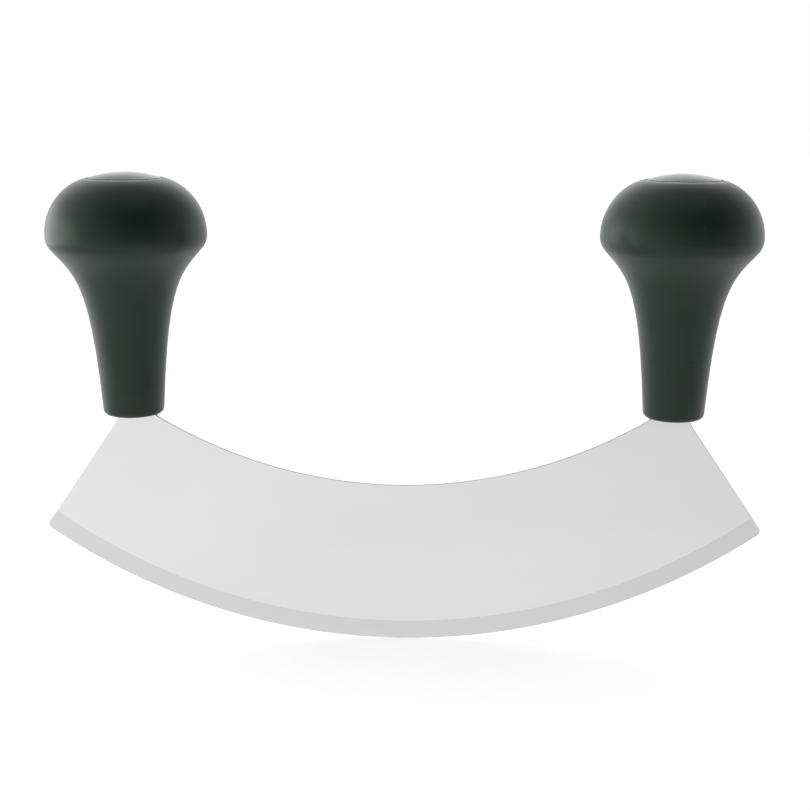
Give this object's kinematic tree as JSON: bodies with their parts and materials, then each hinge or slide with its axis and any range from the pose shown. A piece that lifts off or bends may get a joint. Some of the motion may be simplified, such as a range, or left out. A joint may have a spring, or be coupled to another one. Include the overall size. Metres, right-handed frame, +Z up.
{
  "type": "mezzaluna",
  "caption": "Mezzaluna: a crescent steel chopping blade, ground along its outer edge, with a capped mushroom-shaped plastic knob upright on the tang at each end.",
  "frame": {"origin": "lowest point of the cutting edge, in the middle of the blade's length and of its thickness", "axes": "+X along the blade towards handle_right, +Y through the blade away from the picture's camera, +Z up from the cutting edge to the knobs"},
  "size_m": [0.2186, 0.0472, 0.1442],
  "materials": {
    "blade_steel": "satin stainless steel, finely brushed lengthwise; the ground bevel a shade darker",
    "handle_plastic": "fine matte texture, black with a slight green cast",
    "cap_plastic": "smooth semi-gloss black",
    "washer_steel": "bright zinc plated"
  },
  "bodies": {
    "root": {"blade": "blade_steel", "handle_left": "handle_plastic", "handle_right": "handle_plastic", "cap_left": "cap_plastic", "cap_right": "cap_plastic", "washer_left": "washer_steel", "washer_right": "washer_steel"}
  },
  "joints": []
}
